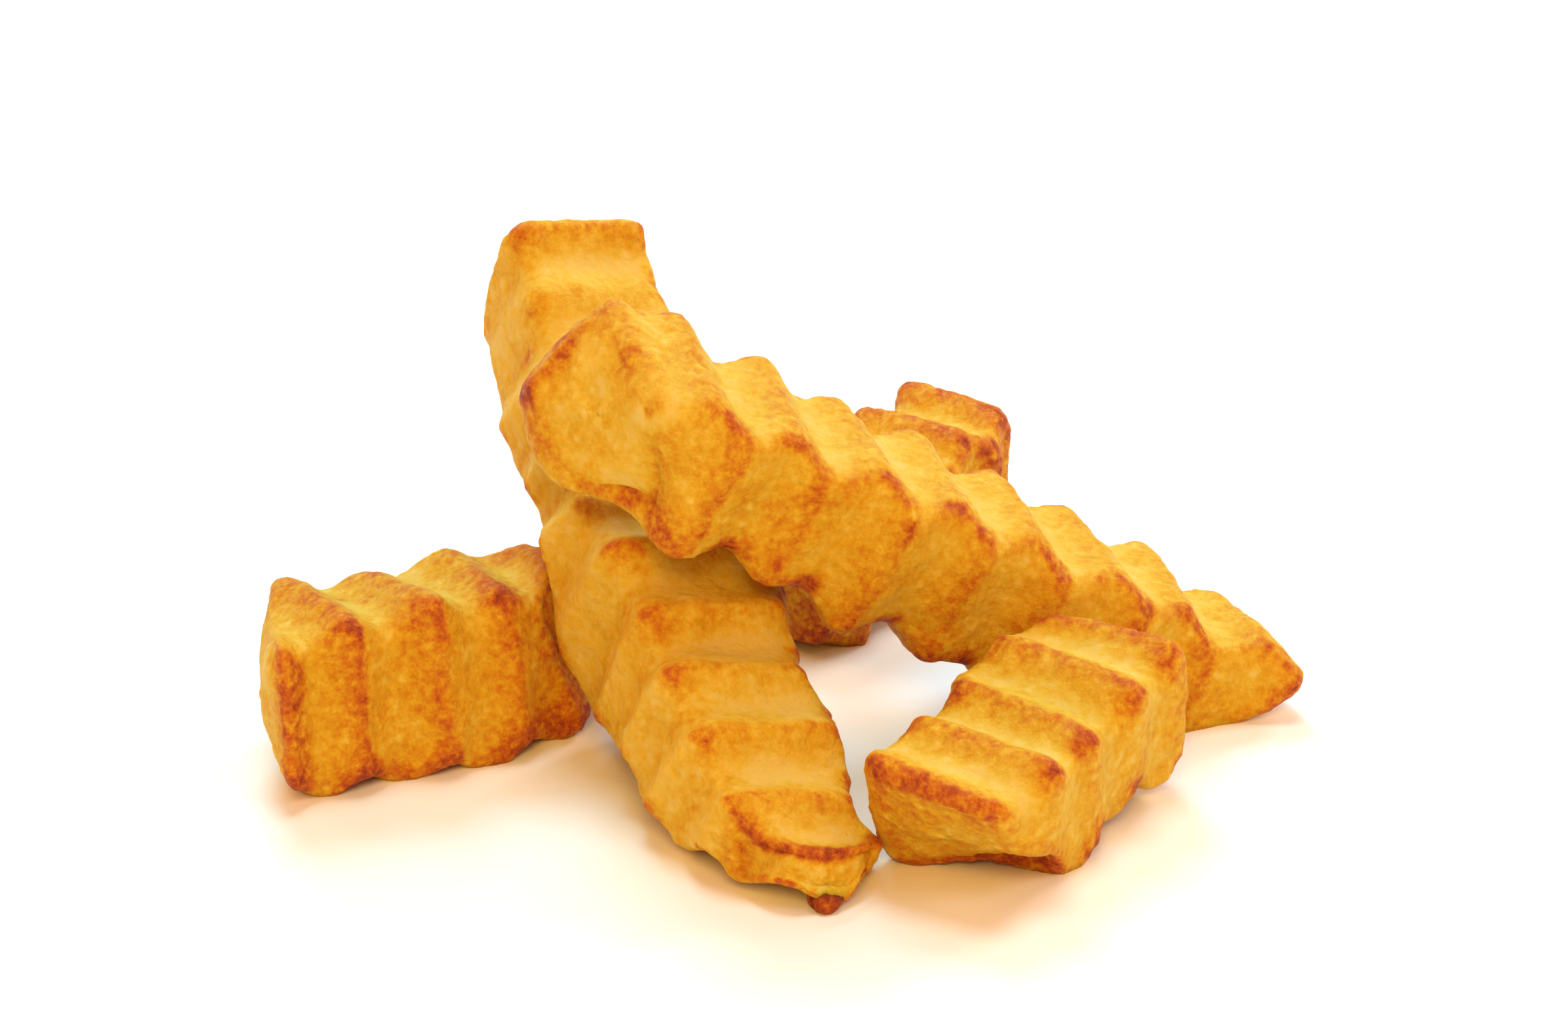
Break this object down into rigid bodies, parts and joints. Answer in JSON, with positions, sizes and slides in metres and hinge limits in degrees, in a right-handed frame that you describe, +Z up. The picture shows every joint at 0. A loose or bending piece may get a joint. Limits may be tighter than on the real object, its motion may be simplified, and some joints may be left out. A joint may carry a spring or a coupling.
{
  "type": "heap of crinkle-cut french fries",
  "caption": "Loose heap of thick crinkle-cut potato fries with ridged golden-brown crusts, some lying across or propped on others",
  "frame": {"origin": "on the surface the heap lies on, below the middle of the heap's bounding box", "axes": "+Z up, +X to the right as seen in the reference view and along the heap's longest side, +Y away from the viewer"},
  "size_m": [0.0758, 0.0712, 0.0356],
  "materials": {
    "crust_top": "fried crust, matt with a little oil, paler in the valleys",
    "crust_leaning": "fried crust, matt with a little oil, browned ridges",
    "crust_left": "fried crust, the darkest and most browned piece",
    "crust_right": "fried crust, matt with a little oil, browned ridges and rims",
    "crust_back": "fried crust, matt with a little oil"
  },
  "bodies": {
    "root": {"fry_top": "crust_top", "fry_leaning": "crust_leaning", "fry_left": "crust_left", "fry_right": "crust_right", "fry_back": "crust_back"}
  },
  "joints": []
}
